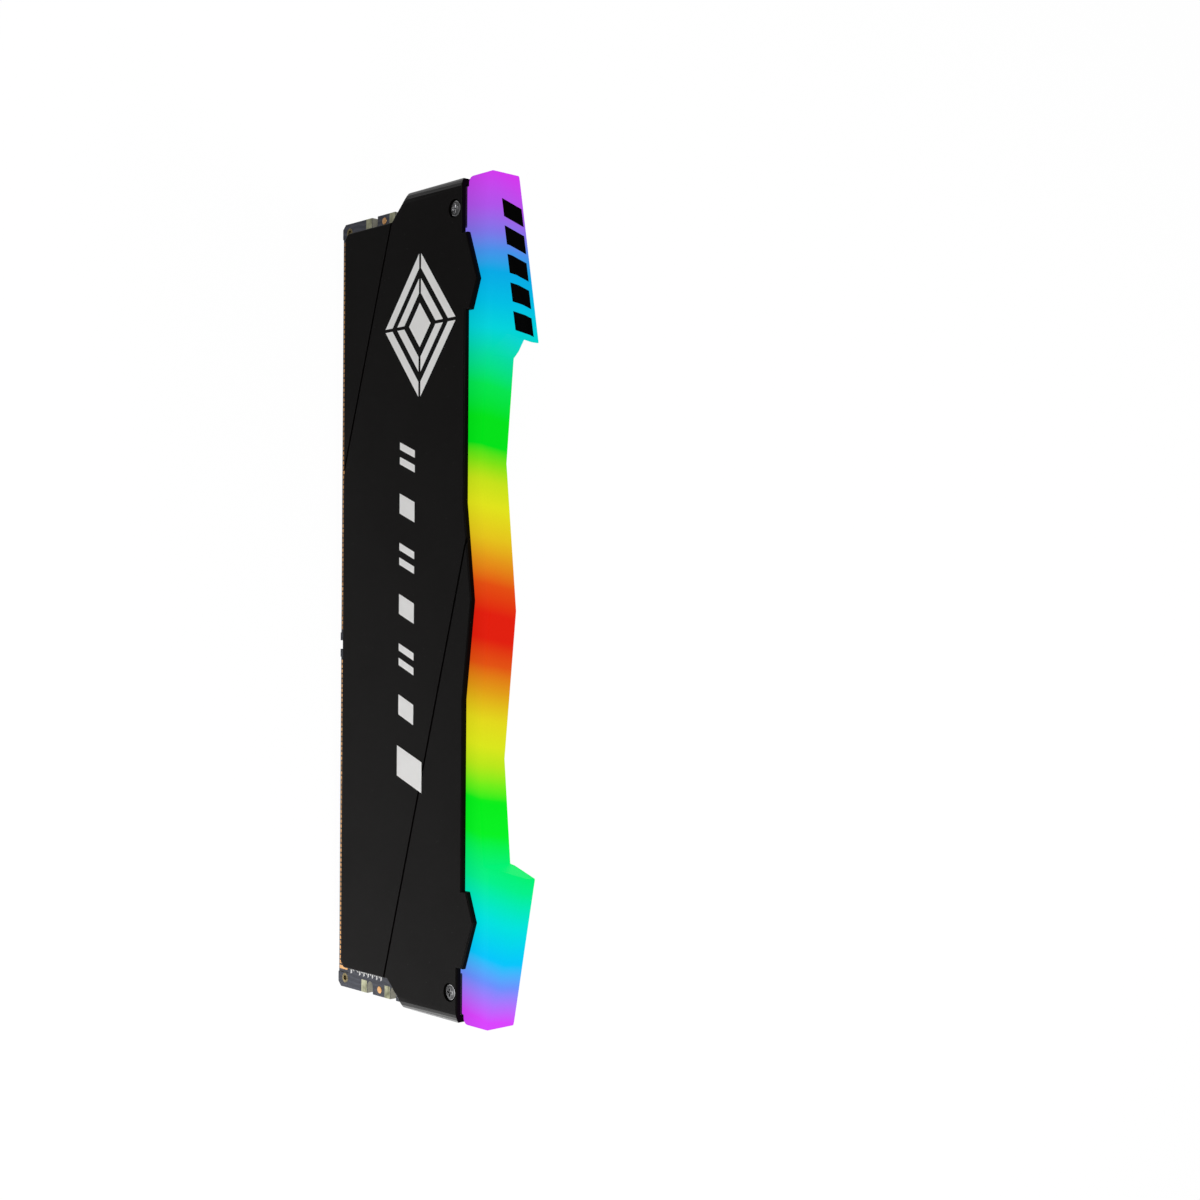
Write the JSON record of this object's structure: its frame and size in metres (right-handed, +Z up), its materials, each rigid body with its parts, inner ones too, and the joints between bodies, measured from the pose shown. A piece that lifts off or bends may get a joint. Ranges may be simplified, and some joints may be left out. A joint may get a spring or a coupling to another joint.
{
  "type": "desktop memory module",
  "caption": "Desktop memory module: notched circuit board between two black heat spreaders, with a frosted multicolour light bar rising in two wings along the top.",
  "frame": {"origin": "middle of the contact edge, on the middle plane between the two heat spreaders, halfway between the light bar's ends", "axes": "+X along the length, -Y out of the front face, +Z up from the contact edge to the light bar"},
  "size_m": [0.135, 0.0078, 0.0505],
  "materials": {
    "board": "black solder mask over glass-fibre board, semi-gloss",
    "contact_gold": "gold plating, smooth",
    "chip_resin": "moulded resin, fine matte",
    "ferrite": "grey ferrite, matte",
    "capacitor_ceramic": "tan ceramic, satin",
    "led_resin": "white resin",
    "thermal_pad": "soft grey silicone, matte",
    "spreader_black": "aluminium with a fine matte black coat",
    "bar_frosted": "frosted light guide, lit in a rainbow",
    "carrier_black": "moulded black plastic",
    "screw_steel": "bright machined steel"
  },
  "bodies": {
    "root": {"capacitor_1": "capacitor_ceramic", "capacitor_2": "capacitor_ceramic", "capacitor_3": "capacitor_ceramic", "capacitor_4": "capacitor_ceramic", "contacts_front_left": "contact_gold", "contacts_front_right": "contact_gold", "contacts_rear_left": "contact_gold", "contacts_rear_right": "contact_gold", "front_heatspreader": "spreader_black", "front_screw_left": "screw_steel", "front_screw_right": "screw_steel", "inductor_1": "ferrite", "inductor_2": "ferrite", "inductor_3": "ferrite", "led_1": "led_resin", "led_10": "led_resin", "led_2": "led_resin", "led_3": "led_resin", "led_4": "led_resin", "led_5": "led_resin", "led_6": "led_resin", "led_7": "led_resin", "led_8": "led_resin", "led_9": "led_resin", "light_bar": "bar_frosted", "light_bar_carrier": "carrier_black", "lighting_controller": "chip_resin", "memory_chip_1": "chip_resin", "memory_chip_2": "chip_resin", "memory_chip_3": "chip_resin", "memory_chip_4": "chip_resin", "memory_chip_5": "chip_resin", "memory_chip_6": "chip_resin", "memory_chip_7": "chip_resin", "memory_chip_8": "chip_resin", "pcb": "board", "power_chip": "chip_resin", "rear_heatspreader": "spreader_black", "rear_screw_left": "screw_steel", "rear_screw_right": "screw_steel", "spd_hub_chip": "chip_resin", "thermal_pad_front_left": "thermal_pad", "thermal_pad_front_right": "thermal_pad", "thermal_pad_power": "thermal_pad", "thermal_pad_rear_left": "thermal_pad", "thermal_pad_rear_right": "thermal_pad"}
  },
  "joints": []
}
